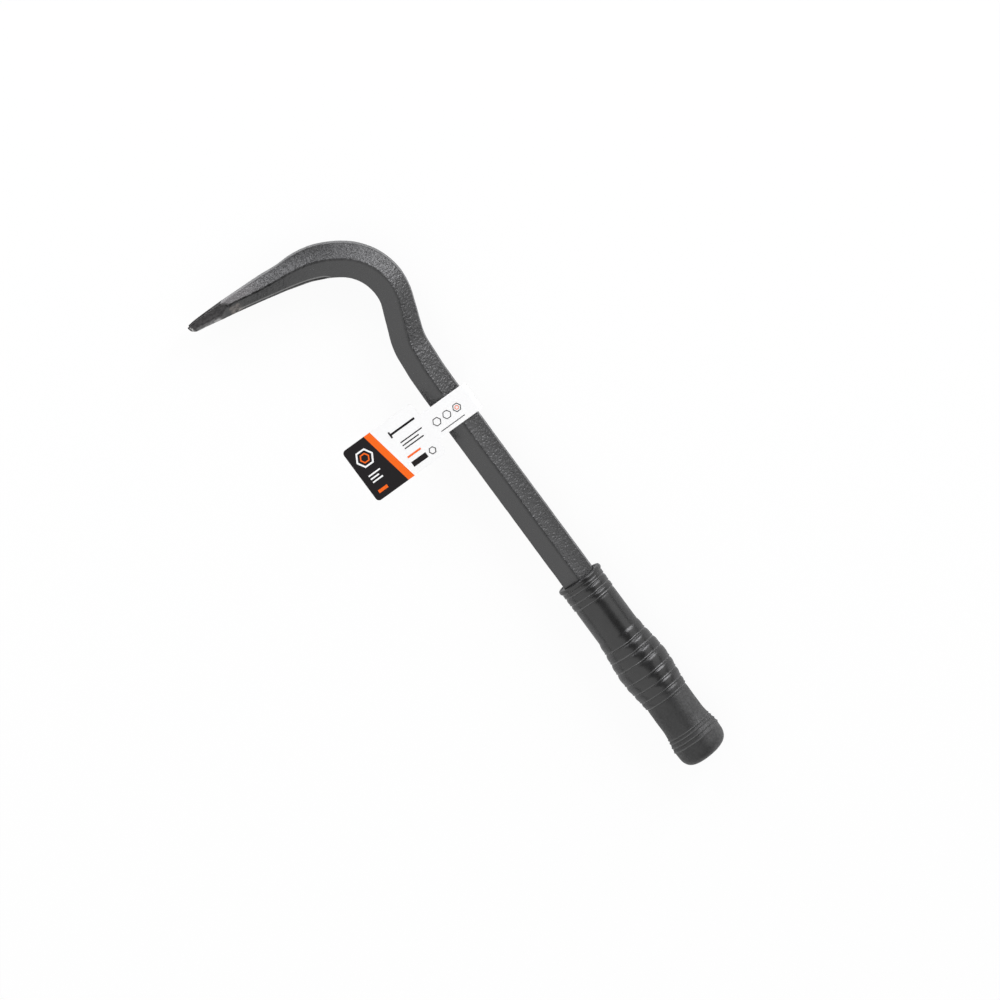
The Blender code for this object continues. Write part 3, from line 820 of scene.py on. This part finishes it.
@dataclass
class HandleGrip:
    """The moulded grip: a mouth bead, rings, a ribbed swell, a waist and a domed bulb.

    Places along the grip are distances from its mouth.
    """

    node: str = "grip"
    radius: float = 0.01055
    mouth_radius: float = 0.0098
    mouth_depth: float = 0.0009
    mouth_inset: float = 0.0007
    socket_corners: float = 0.01911
    end_wall: float = 0.0050
    lip_radius: float = 0.01145
    lip_length: float = 0.0031
    lip_powers: Span = (0.5, 1.3)
    mouth_rings: tuple[float, ...] = (0.0056, 0.0096, 0.0128)
    mouth_ring_rise: float = 0.0003
    bead_line: float = 0.0036
    swell: Triple = (0.0300, 0.0515, 0.0715)
    swell_rise: float = 0.00175
    waist_rise: float = 0.0003
    first_rib: float = 0.0318
    ribs: tuple[float, ...] = (0.0373, 0.0425, 0.0479, 0.0549, 0.0604, 0.0653, 0.0693)
    rib_rise: float = 0.00035
    rib_skew: float = 0.70
    rib_power: float = 1.5
    bulb: Span = (0.0830, 0.0940)
    bulb_rise: float = 0.00185
    bulb_rings: tuple[float, ...] = (0.0873, 0.0889, 0.0911, 0.0933, 0.0947)
    bulb_ring_rise: float = 0.00008
    groove_depth: float = 0.00020
    groove_reach: float = 0.00026
    groove_run_out: float = 0.0009
    crest_rise: float = 0.00028
    crest_setback: float = 0.00050
    crest_reach: float = 0.00026
    # how strongly the crests before the grooves get rub wear and a painted highlight
    crest_rub_and_highlight: float = 1.2
    end_inset: float = 0.0008
    end_length: float = 0.0098
    end_squareness: float = 3.3
    end_tilt: float = 0.05
    dull_run: Span = (0.0600, 0.0760)
    # dust all round the dull end, and a painted sheen that grows towards the +Y side
    sheen_side: Span = (0.05, 0.55)
    dust_and_sheen_share: Span = (0.28, 0.90)
    step: float = 0.00022
    lip_turn: int = 10
    end_turn: int = 4
    sides: int = 96
    sag: float = 0.00005
    sag_size: float = 0.0070
    sharp_angle: float = math.radians(60)

    def measure_envelope(self, x: float) -> float:
        """Returns the radius without rings, at a distance from the mouth.

        Args:
            x: The distance.

        Returns:
            The radius.
        """
        start, middle, end = self.swell
        swell = self.swell_rise * rise(x, start, middle) * rise(x, end, middle)
        bulb = (self.bulb_rise - self.waist_rise) * rise(x, *self.bulb)
        return self.radius + self.waist_rise * rise(x, start, end) + swell + bulb

    def measure_rings(self, x: float, start: float, ends: tuple[float, ...], height: float) -> float:
        """Returns what a stretch of rings adds to the radius, with a crest before each groove.

        Args:
            x: The distance from the mouth.
            start: Where the first ring starts.
            ends: Where each ring ends in a groove.
            height: How far a ring stands out.

        Returns:
            The rise, below 0 in a groove.
        """
        added = 0.0
        for end in ends:
            if start <= x <= end:
                share = ((x - start) / (end - start)) ** self.rib_skew
                added += height * max(math.sin(math.pi * share), 0.0) ** self.rib_power
            reach = self.groove_reach if x < end else self.groove_run_out
            added -= self.groove_depth * math.exp(-(((x - end) / reach) ** 2))
            added += self.crest_rise * self.measure_crest(x, end)
            start = end
        return added

    def measure_crest(self, x: float, end: float) -> float:
        """Returns how far a place is on the crest before a groove, 0 to 1."""
        return math.exp(-(((x - end + self.crest_setback) / self.crest_reach) ** 2))

    def draw_outline(self, length: float) -> list[Span]:
        """Draws the bead at the mouth and the outer side to the closed end.

        Args:
            length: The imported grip's length.

        Returns:
            Its points as (distance from the mouth, radius).
        """
        points = []
        for turn in range(0, 181, self.lip_turn):
            angle = math.radians(turn)
            front = turn < 90
            height = max(math.sin(angle), 0.0) ** self.lip_powers[0 if front else 1]
            run = (self.lip_length - self.mouth_inset) * (1 - math.cos(angle)) / 2
            base = self.radius - self.groove_depth if front else self.radius
            points.append((self.mouth_inset + run, base + (self.lip_radius - base) * height))
        corner = length - self.end_inset - self.end_length
        count = round((corner - self.lip_length) / self.step)
        for i in range(1, count + 1):
            x = self.lip_length + (corner - self.lip_length) * i / count
            mouth = self.measure_rings(x, self.lip_length, self.mouth_rings, self.mouth_ring_rise)
            ribs = self.measure_rings(x, self.first_rib, self.ribs, self.rib_rise)
            bulb = self.measure_rings(x, self.bulb[0], self.bulb_rings, self.bulb_ring_rise)
            points.append((x, self.measure_envelope(x) + mouth + ribs + bulb))
        top = points[-1][1]
        power = 2 / self.end_squareness
        for turn in range(self.end_turn, 90 - 1, self.end_turn):
            angle = math.radians(turn)
            x = corner + self.end_length * math.sin(angle) ** power
            points.append((x, top * math.cos(angle) ** power))
        return points

    def spin_shell(self, length: float) -> BMesh:
        """Spins the grip's outline, closes its mouth round the socket and lets it sag a little.

        Args:
            length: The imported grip's length.

        Returns:
            The grip's mesh, with its mouth at the origin.
        """
        line = [(self.mouth_depth, self.mouth_radius), (self.mouth_inset, self.mouth_radius)]
        line += [*self.draw_outline(length), (length - self.end_inset, 0.0)]
        bm = bmesh.new()
        verts = [bm.verts.new((x, radius, 0)) for x, radius in line]
        edges = [bm.edges.new(pair) for pair in zip(verts, verts[1:])]
        bmesh.ops.spin(
            bm, geom=verts + edges, cent=(0, 0, 0), axis=(1, 0, 0), angle=2 * math.pi, steps=self.sides,
            use_merge=True, use_normal_flip=False, use_duplicate=False,
        )
        bmesh.ops.remove_doubles(bm, verts=bm.verts[:], dist=MERGE_DISTANCE)
        self.add_socket(bm, length)
        bmesh.ops.recalc_face_normals(bm, faces=bm.faces[:])
        for vert in bm.verts:
            if vert.co.yz.length > self.radius - self.groove_depth:
                vert.co += vert.normal * noise.noise(vert.co / self.sag_size) * self.sag
            vert.co.x -= self.end_tilt * vert.co.y * rise(vert.co.x, self.bulb[0], length)
        return bm

    def add_socket(self, bm: BMesh, length: float) -> None:
        """Closes the mouth with a floor and a six-sided socket round the bar.

        Args:
            bm: The grip's mesh, open at the mouth's floor.
            length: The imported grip's length.
        """
        mouth = [edge for edge in bm.edges if edge.is_boundary]
        turned = Matrix.Rotation(math.pi / 2, 4, "Y") @ Matrix.Rotation(math.pi / 6, 4, "Z")
        place = Matrix.Translation((self.mouth_depth, 0, 0)) @ turned
        made = bmesh.ops.create_circle(bm, segments=6, radius=self.socket_corners / 2, matrix=place)
        six = list(dict.fromkeys(edge for vert in made["verts"] for edge in vert.link_edges))
        cut = bmesh.ops.subdivide_edges(bm, edges=six, cuts=self.sides // 6 - 1)
        loop = pick(cut["geom"], BMEdge)
        bmesh.ops.bridge_loops(bm, edges=mouth + loop)
        walls = bmesh.ops.extrude_edge_only(bm, edges=loop)["geom"]
        depth = length - self.end_wall - self.mouth_depth
        bmesh.ops.translate(bm, verts=pick(walls, BMVert), vec=(depth, 0, 0))
        end = [edge for edge in pick(walls, BMEdge) if edge.is_boundary]
        bmesh.ops.holes_fill(bm, edges=end, sides=0)

    def mark(self, place: Vector) -> dict[str, float]:
        """Finds how far a point gets rub wear and a painted highlight, how dull it is, and how much dust
        and painted sheen it has.

        Args:
            place: Where it is from the middle of the mouth.

        Returns:
            Its marks by name.
        """
        ends = (self.bead_line, *self.mouth_rings, *self.ribs, *self.bulb_rings)
        crests = sum(self.measure_crest(place.x, end) for end in ends)
        dull = rise(place.x, *self.dull_run)
        # dust, with a painted sheen that grows towards the +Y side
        side = rise(place.y / self.radius, *self.sheen_side)
        dust_and_painted_sheen = dull * between(self.dust_and_sheen_share, side)
        # rub wear and a painted highlight on the crests
        return {"rub_and_highlight": self.crest_rub_and_highlight * crests, "dull": dull, "dust_and_painted_sheen": dust_and_painted_sheen}

    def build(self, vinyl: Material) -> Object:
        """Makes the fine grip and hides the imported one.

        Args:
            vinyl: The grip's finish.

        Returns:
            The grip.
        """
        low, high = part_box(self.node)
        middle = find_middle(self.node)
        bm = self.spin_shell(high.x - low.x)
        rows = [self.mark(vert.co) for vert in bm.verts]
        bmesh.ops.translate(bm, verts=bm.verts[:], vec=(low.x, middle.y, middle.z))
        grip = new_piece("handle_grip", bm, Body.TOOL)
        grip.data.materials.append(vinyl)
        grip.data.shade_smooth()
        grip.data.set_sharp_from_angle(angle=self.sharp_angle)
        write_marks(grip.data, rows)
        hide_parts(self.node)
        return grip


@dataclass
class CardLabel:
    """The card label: a flag with rounded corners, whose strap goes round the bar to the flag's back."""

    node: str = "label"
    grip_node: str = "grip"
    thickness: float = 0.00036
    flag_length: float = 0.0390
    corner_radius: float = 0.0019
    corner_segments: int = 8
    strap_width: float = 0.0143
    outer_inset: float = 0.0002
    shoulder_depth: float = 0.0052
    flank_depth: float = 0.0149
    flank_half: float = 0.0095
    ridge_room: float = 0.00015
    glue: float = 0.00005
    tail_length: float = 0.0080
    tail_taper: float = 0.14
    tail_trim: float = 0.0021
    fold_radius: float = 0.0016
    fold_segments: int = 5
    sheet_half: float = 0.00025
    panel_share: float = 0.62
    panel_slant: float = 0.0050
    band_width: float = 0.0034
    bm: BMesh = field(init=False)
    low: Vector = field(init=False)
    high: Vector = field(init=False)
    level: float = field(init=False)
    near: float = field(init=False)
    middle: float = field(init=False)

    def __post_init__(self) -> None:
        """Starts the mesh, and finds the label's corners and the flag's level, near edge and middle."""
        self.bm = bmesh.new()
        self.low, self.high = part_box(self.node)
        self.level = self.high.z - self.sheet_half
        self.near = self.low.y + self.flag_length
        self.middle = (self.low.x + self.high.x) / 2

    def build(self, inks: dict[Ink, Material]) -> Object:
        """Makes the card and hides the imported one.

        Args:
            inks: The card's material for each ink.

        Returns:
            The card.
        """
        self.cut_flag()
        self.fold_strap()
        self.print_flag()
        bmesh.ops.recalc_face_normals(self.bm, faces=self.bm.faces[:])
        card = new_piece("card_label", self.bm, Body.LABEL)
        # the front's slots come first, then the back's, which are all white
        for material in (*inks.values(), *[inks[Ink.NONE]] * len(Ink)):
            card.data.materials.append(material)
        wall = card.modifiers.new("card", "SOLIDIFY")
        wall.thickness = self.thickness
        wall.offset = 0.0
        wall.use_even_offset = True
        wall.material_offset = len(Ink)
        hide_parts(self.node)
        return card

    def cut_flag(self) -> None:
        """Cuts the flag, with rounded corners and a near edge split where the strap starts."""
        bm = self.bm
        size = Matrix.Diagonal((self.high.x - self.low.x, self.flag_length, 1, 1))
        place = Matrix.Translation((self.middle, self.low.y + self.flag_length / 2, self.level))
        bmesh.ops.create_grid(bm, x_segments=1, y_segments=1, size=0.5, matrix=place @ size)
        corners = {"offset": self.corner_radius, "segments": self.corner_segments, "affect": "VERTICES"}
        bmesh.ops.bevel(bm, geom=bm.verts[:], **corners, **ROUND)
        for side in (-1, 1):
            geom = bm.verts[:] + bm.edges[:] + bm.faces[:]
            point = (self.middle + side * self.strap_width / 2, self.low.y, self.level)
            bmesh.ops.bisect_plane(bm, geom=geom, dist=MERGE_DISTANCE, plane_co=point, plane_no=(1, 0, 0))

    def draw_loop(self) -> list[Vector]:
        """Draws the strap's way round the bar, seen from the end of the grip.

        Returns:
            Its corners as (across, up), from the far side of the bar to the end of the tail.
        """
        level = self.level
        outside = self.high.y - self.outer_inset
        bar = find_middle(self.grip_node).y
        behind = level - self.thickness - self.glue
        tail = self.near - self.fold_radius
        return [
            Vector((outside, level)),
            Vector((outside, level - self.shoulder_depth)),
            Vector((bar + self.flank_half, level - self.flank_depth)),
            Vector((bar, self.low.z - self.ridge_room)),
            Vector((bar - self.flank_half, level - self.flank_depth)),
            Vector((tail, behind)),
            Vector((tail - self.tail_length, behind)),
        ]

    def fold_strap(self) -> None:
        """Draws the strap from the flag's near edge round the bar to its tail behind the flag."""
        bm = self.bm
        half = self.strap_width / 2 + MERGE_DISTANCE
        edges = []
        for edge in bm.edges:
            places = [vert.co - Vector((self.middle, self.near, self.level)) for vert in edge.verts]
            if all(abs(place.y) < MERGE_DISTANCE and abs(place.x) < half for place in places):
                edges.append(edge)
        here = Vector((self.near, self.level))
        folds = []
        for corner in self.draw_loop():
            raised = bmesh.ops.extrude_edge_only(bm, edges=edges)["geom"]
            verts = pick(raised, BMVert)
            bmesh.ops.translate(bm, verts=verts, vec=(0, *(corner - here)))
            for vert in verts:
                trim = min((self.level - vert.co.z) * self.tail_taper, self.tail_trim)
                vert.co.x = max(vert.co.x, self.middle - half + trim)
            drawn = [edge for edge in pick(raised, BMEdge) if edge.is_boundary]
            edges = [edge for edge in drawn if all(vert in verts for vert in edge.verts)]
            folds.append(edges)
            here = corner
        bends = [edge for fold in folds[:-1] for edge in fold]
        bent = {"offset": self.fold_radius, "segments": self.fold_segments, "affect": "EDGES"}
        bmesh.ops.bevel(bm, geom=bends, **bent, **ROUND)

    def print_flag(self) -> None:
        """Prints a slanted black panel at the far end of the flag, with an orange band along it."""
        bm = self.bm
        slant = Vector((self.panel_slant, self.high.x - self.low.x, 0)).normalized()
        normal = Vector((-slant.x, slant.y, 0))
        edge = self.low.y + self.flag_length * (1 - self.panel_share)
        start = Vector((self.middle, edge, self.level))
        heights = [(face, face.calc_center_median().z) for face in bm.faces]
        flag = [face for face, height in heights if abs(height - self.level) < MERGE_DISTANCE]
        for point in (start, start + normal * self.band_width):
            parts = dict.fromkeys(part for face in flag for part in (*face.edges, *face.verts))
            plane = {"plane_co": point, "plane_no": normal}
            cut = bmesh.ops.bisect_plane(bm, geom=[*flag, *parts], dist=MERGE_DISTANCE, **plane)
            flag = pick(cut["geom"], BMFace)
        for face in flag:
            across = (face.calc_center_median() - start).dot(normal)
            if across < 0:
                face.material_index = Ink.BLACK.value
            elif across < self.band_width:
                face.material_index = Ink.ORANGE.value


Mark = tuple[float, float, float, float, Ink]


@dataclass
class LabelPrint:
    """The label's print, as thin films of ink: rings, bars, rules and a pictogram of a nail.

    Each mark has its place along and across the card from its far corner, its radius or length, and its
    width, all in millimetres, and its ink.
    """

    node: str = "label"
    film: float = 0.00002
    lift: float = 0.00001
    rings: tuple[Mark, ...] = (
        # on the panel
        (7.0, 8.2, 4.6, 0.9, Ink.NONE),
        (7.0, 8.2, 2.5, 0.7, Ink.ORANGE),
        # on the flag
        (34.2, 23.6, 1.9, 0.45, Ink.BLACK),
        # on the strap
        (43.6, 14.1, 2.2, 0.40, Ink.BLACK),
        (49.2, 14.1, 2.2, 0.40, Ink.BLACK),
        (54.8, 14.1, 2.2, 0.40, Ink.BLACK),
        (54.8, 14.1, 1.1, 0.35, Ink.ORANGE),
    )
    bars: tuple[Mark, ...] = (
        # on the panel
        (3.4, 16.2, 6.4, 0.7, Ink.NONE),
        (3.4, 17.9, 4.6, 0.7, Ink.NONE),
        (3.4, 19.6, 5.6, 0.7, Ink.NONE),
        (3.0, 24.6, 5.0, 1.5, Ink.ORANGE),
        # the nail's shank and head
        (23.0, 6.6, 13.2, 1.0, Ink.BLACK),
        (22.3, 6.6, 0.8, 3.2, Ink.BLACK),
        # on the flag
        (24.4, 12.2, 12.0, 0.55, Ink.BLACK),
        (24.4, 13.9, 9.0, 0.55, Ink.BLACK),
        (24.4, 15.6, 10.6, 0.55, Ink.BLACK),
        (23.0, 19.6, 7.4, 0.9, Ink.ORANGE),
        (23.0, 23.6, 8.0, 2.6, Ink.BLACK),
        # on the strap
        (42.6, 19.0, 13.2, 0.35, Ink.BLACK),
    )

    def build(self, inks: dict[Ink, Material]) -> Object:
        """Makes the print that lies on the card.

        Args:
            inks: The card's material for each ink.

        Returns:
            The print.
        """
        low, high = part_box(self.node)
        corner = Vector((low.x, low.y, high.z + self.lift))
        bm = bmesh.new()
        for along, across, radius, width, ink in self.rings:
            before = set(bm.faces)
            radius *= MILLIMETRE
            place = Matrix.Translation(corner + Vector((across, along, 0)) * MILLIMETRE)
            bmesh.ops.create_circle(bm, cap_ends=True, segments=6, radius=radius, matrix=place)
            inner = [face for face in bm.faces if face not in before]
            line = bmesh.ops.inset_individual(bm, faces=inner, thickness=width * MILLIMETRE)
            for face in line["faces"]:
                face.material_index = ink.value
            bmesh.ops.delete(bm, geom=inner, context="FACES")
        for along, across, length, width, ink in self.bars:
            size = Matrix.Diagonal((width * MILLIMETRE, length * MILLIMETRE, 1, 1))
            middle = Vector((across, along + length / 2, 0)) * MILLIMETRE
            place = Matrix.Translation(corner + middle) @ size
            made = bmesh.ops.create_grid(bm, x_segments=1, y_segments=1, size=0.5, matrix=place)
            for face in {face for vert in made["verts"] for face in vert.link_faces}:
                face.material_index = ink.value
        bmesh.ops.solidify(bm, geom=bm.faces[:], thickness=self.film)
        bmesh.ops.recalc_face_normals(bm, faces=bm.faces[:])
        film = new_piece("label_print", bm, Body.LABEL)
        for material in inks.values():
            film.data.materials.append(material)
        return film


@dataclass
class CameraRig:
    """The camera of the studio picture, which looks down on the tool from far away."""

    view: Triple = (-0.125, 0.085, 1.0)
    aim: Triple = (-0.00222, 0.02105, 0.01281)
    distance: float = 3.2
    reach: float = 20.0
    shank_angle: float = math.radians(53.56)
    field: float = 0.459
    sensor: float = 36.0  # in millimetres

    def find_axes(self) -> tuple[Vector, Vector, Vector]:
        """Finds how the camera stands.

        Returns:
            The directions to the picture's right, to its top and to the camera.
        """
        back = Vector(self.view).normalized()
        shank = Vector((1, 0, 0))
        along = (shank - back * shank.dot(back)).normalized()
        across = back.cross(along)
        right = along * math.cos(self.shank_angle) + across * math.sin(self.shank_angle)
        return right, back.cross(right), back

    def build(self) -> None:
        """Adds the camera and makes it the scene's own."""
        right, up, back = self.find_axes()
        data = bpy.data.cameras.new("studio_camera")
        data.sensor_width = self.sensor
        data.lens = self.sensor * self.distance / self.field
        data.clip_end = self.reach
        camera = add_object("studio_camera", data)
        camera.matrix_world = stand((right, up, back), Vector(self.aim) + back * self.distance)
        bpy.context.scene.camera = camera


@dataclass(frozen=True)
class Softbox:
    """A soft lamp, placed by its bearing in the picture and its tilt from the camera, both in degrees."""

    name: str
    bearing: float
    tilt: float
    distance: float
    width: float
    height: float
    radiance: float
    colour: Colour = (1.0, 1.0, 1.0)

    def build(self, rig: CameraRig) -> None:
        """Adds the lamp, which faces the tool and which the camera doesn't see.

        Args:
            rig: The camera that it is placed around.
        """
        right, up, back = rig.find_axes()
        bearing = math.radians(self.bearing)
        tilt = math.radians(self.tilt)
        sideways = right * math.cos(bearing) + up * math.sin(bearing)
        direction = back * math.cos(tilt) + sideways * math.sin(tilt)
        data = bpy.data.lights.new(self.name, "AREA")
        data.shape = "RECTANGLE"
        data.size = self.width
        data.size_y = self.height
        data.energy = self.radiance * math.pi * self.width * self.height
        data.color = self.colour
        lamp = add_object(self.name, data)
        across = back.cross(sideways).normalized()
        axes = (across, direction.cross(across), direction)
        lamp.matrix_world = stand(axes, Vector(rig.aim) + direction * self.distance)
        lamp.visible_camera = False


@dataclass
class Studio:
    """The plain pale studio: paper floor, even surrounding light and soft lamps."""

    floor_size: float = 12.0
    surround: float = 0.17
    softboxes: tuple[Softbox, ...] = (
        Softbox("lower_panel", 235, 48, distance=1.5, width=5.2, height=2.75, radiance=0.88),
        Softbox("key_strip", 54, 55, 1.5, width=0.42, height=1.1, radiance=6.5, colour=COOL_WHITE),
        Softbox("crown_strip", 92, 58, 1.5, width=0.35, height=0.9, radiance=4.6, colour=COOL_WHITE),
        Softbox("left_strip", 132, 58, 1.5, width=0.50, height=0.9, radiance=4.6, colour=COOL_WHITE),
        Softbox("upper_softbox", 26, 60, distance=1.6, width=2.3, height=1.1, radiance=0.98),
    )

    def build(self, rig: CameraRig, paper: Material) -> None:
        """Adds the floor, the lamps and the even light from all sides, behind which the camera sees white.

        Args:
            rig: The camera, which the lamps are placed around.
            paper: The floor's finish.
        """
        low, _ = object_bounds()
        bm = bmesh.new()
        place = Matrix.Translation((0, 0, low[2])) @ Matrix.Scale(self.floor_size, 4)
        bmesh.ops.create_grid(bm, x_segments=1, y_segments=1, size=0.5, matrix=place)
        floor = add_object("studio_floor", bm)
        floor.data.materials.append(paper)
        floor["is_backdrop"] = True
        world = bpy.data.worlds.new("studio")
        world.use_nodes = True
        nodes, links = world.node_tree.nodes, world.node_tree.links
        surround = nodes["Background"]
        backdrop = nodes.new("ShaderNodeBackground")
        for node, strength in ((surround, self.surround), (backdrop, 1.0)):
            node.inputs["Color"].default_value = (1, 1, 1, 1)
            node.inputs["Strength"].default_value = strength
        path = nodes.new("ShaderNodeLightPath")
        mixed = nodes.new("ShaderNodeMixShader")
        links.new(path.outputs["Is Camera Ray"], mixed.inputs["Fac"])
        links.new(surround.outputs["Background"], mixed.inputs[1])
        links.new(backdrop.outputs["Background"], mixed.inputs[2])
        links.new(mixed.outputs["Shader"], nodes["World Output"].inputs["Surface"])
        bpy.context.scene.world = world
        for softbox in self.softboxes:
            softbox.build(rig)


def main() -> None:
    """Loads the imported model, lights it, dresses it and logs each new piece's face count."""
    logging.basicConfig(level=logging.INFO, format="%(message)s")
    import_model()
    bpy.context.scene.view_settings.view_transform = "Standard"
    rig = CameraRig()
    rig.build()
    Studio().build(rig, StudioPaper().make())
    inks = {ink: card.make() for ink, card in INKS.items()}
    for piece in (
        ForgedBar().build(HammeredPaint().make()),
        HandleGrip().build(GripVinyl().make()),
        CardLabel().build(inks),
        LabelPrint().build(inks),
    ):
        LOG.info("%s: %d faces", piece.name, len(piece.data.polygons))


if __name__ == "__main__":
    main()
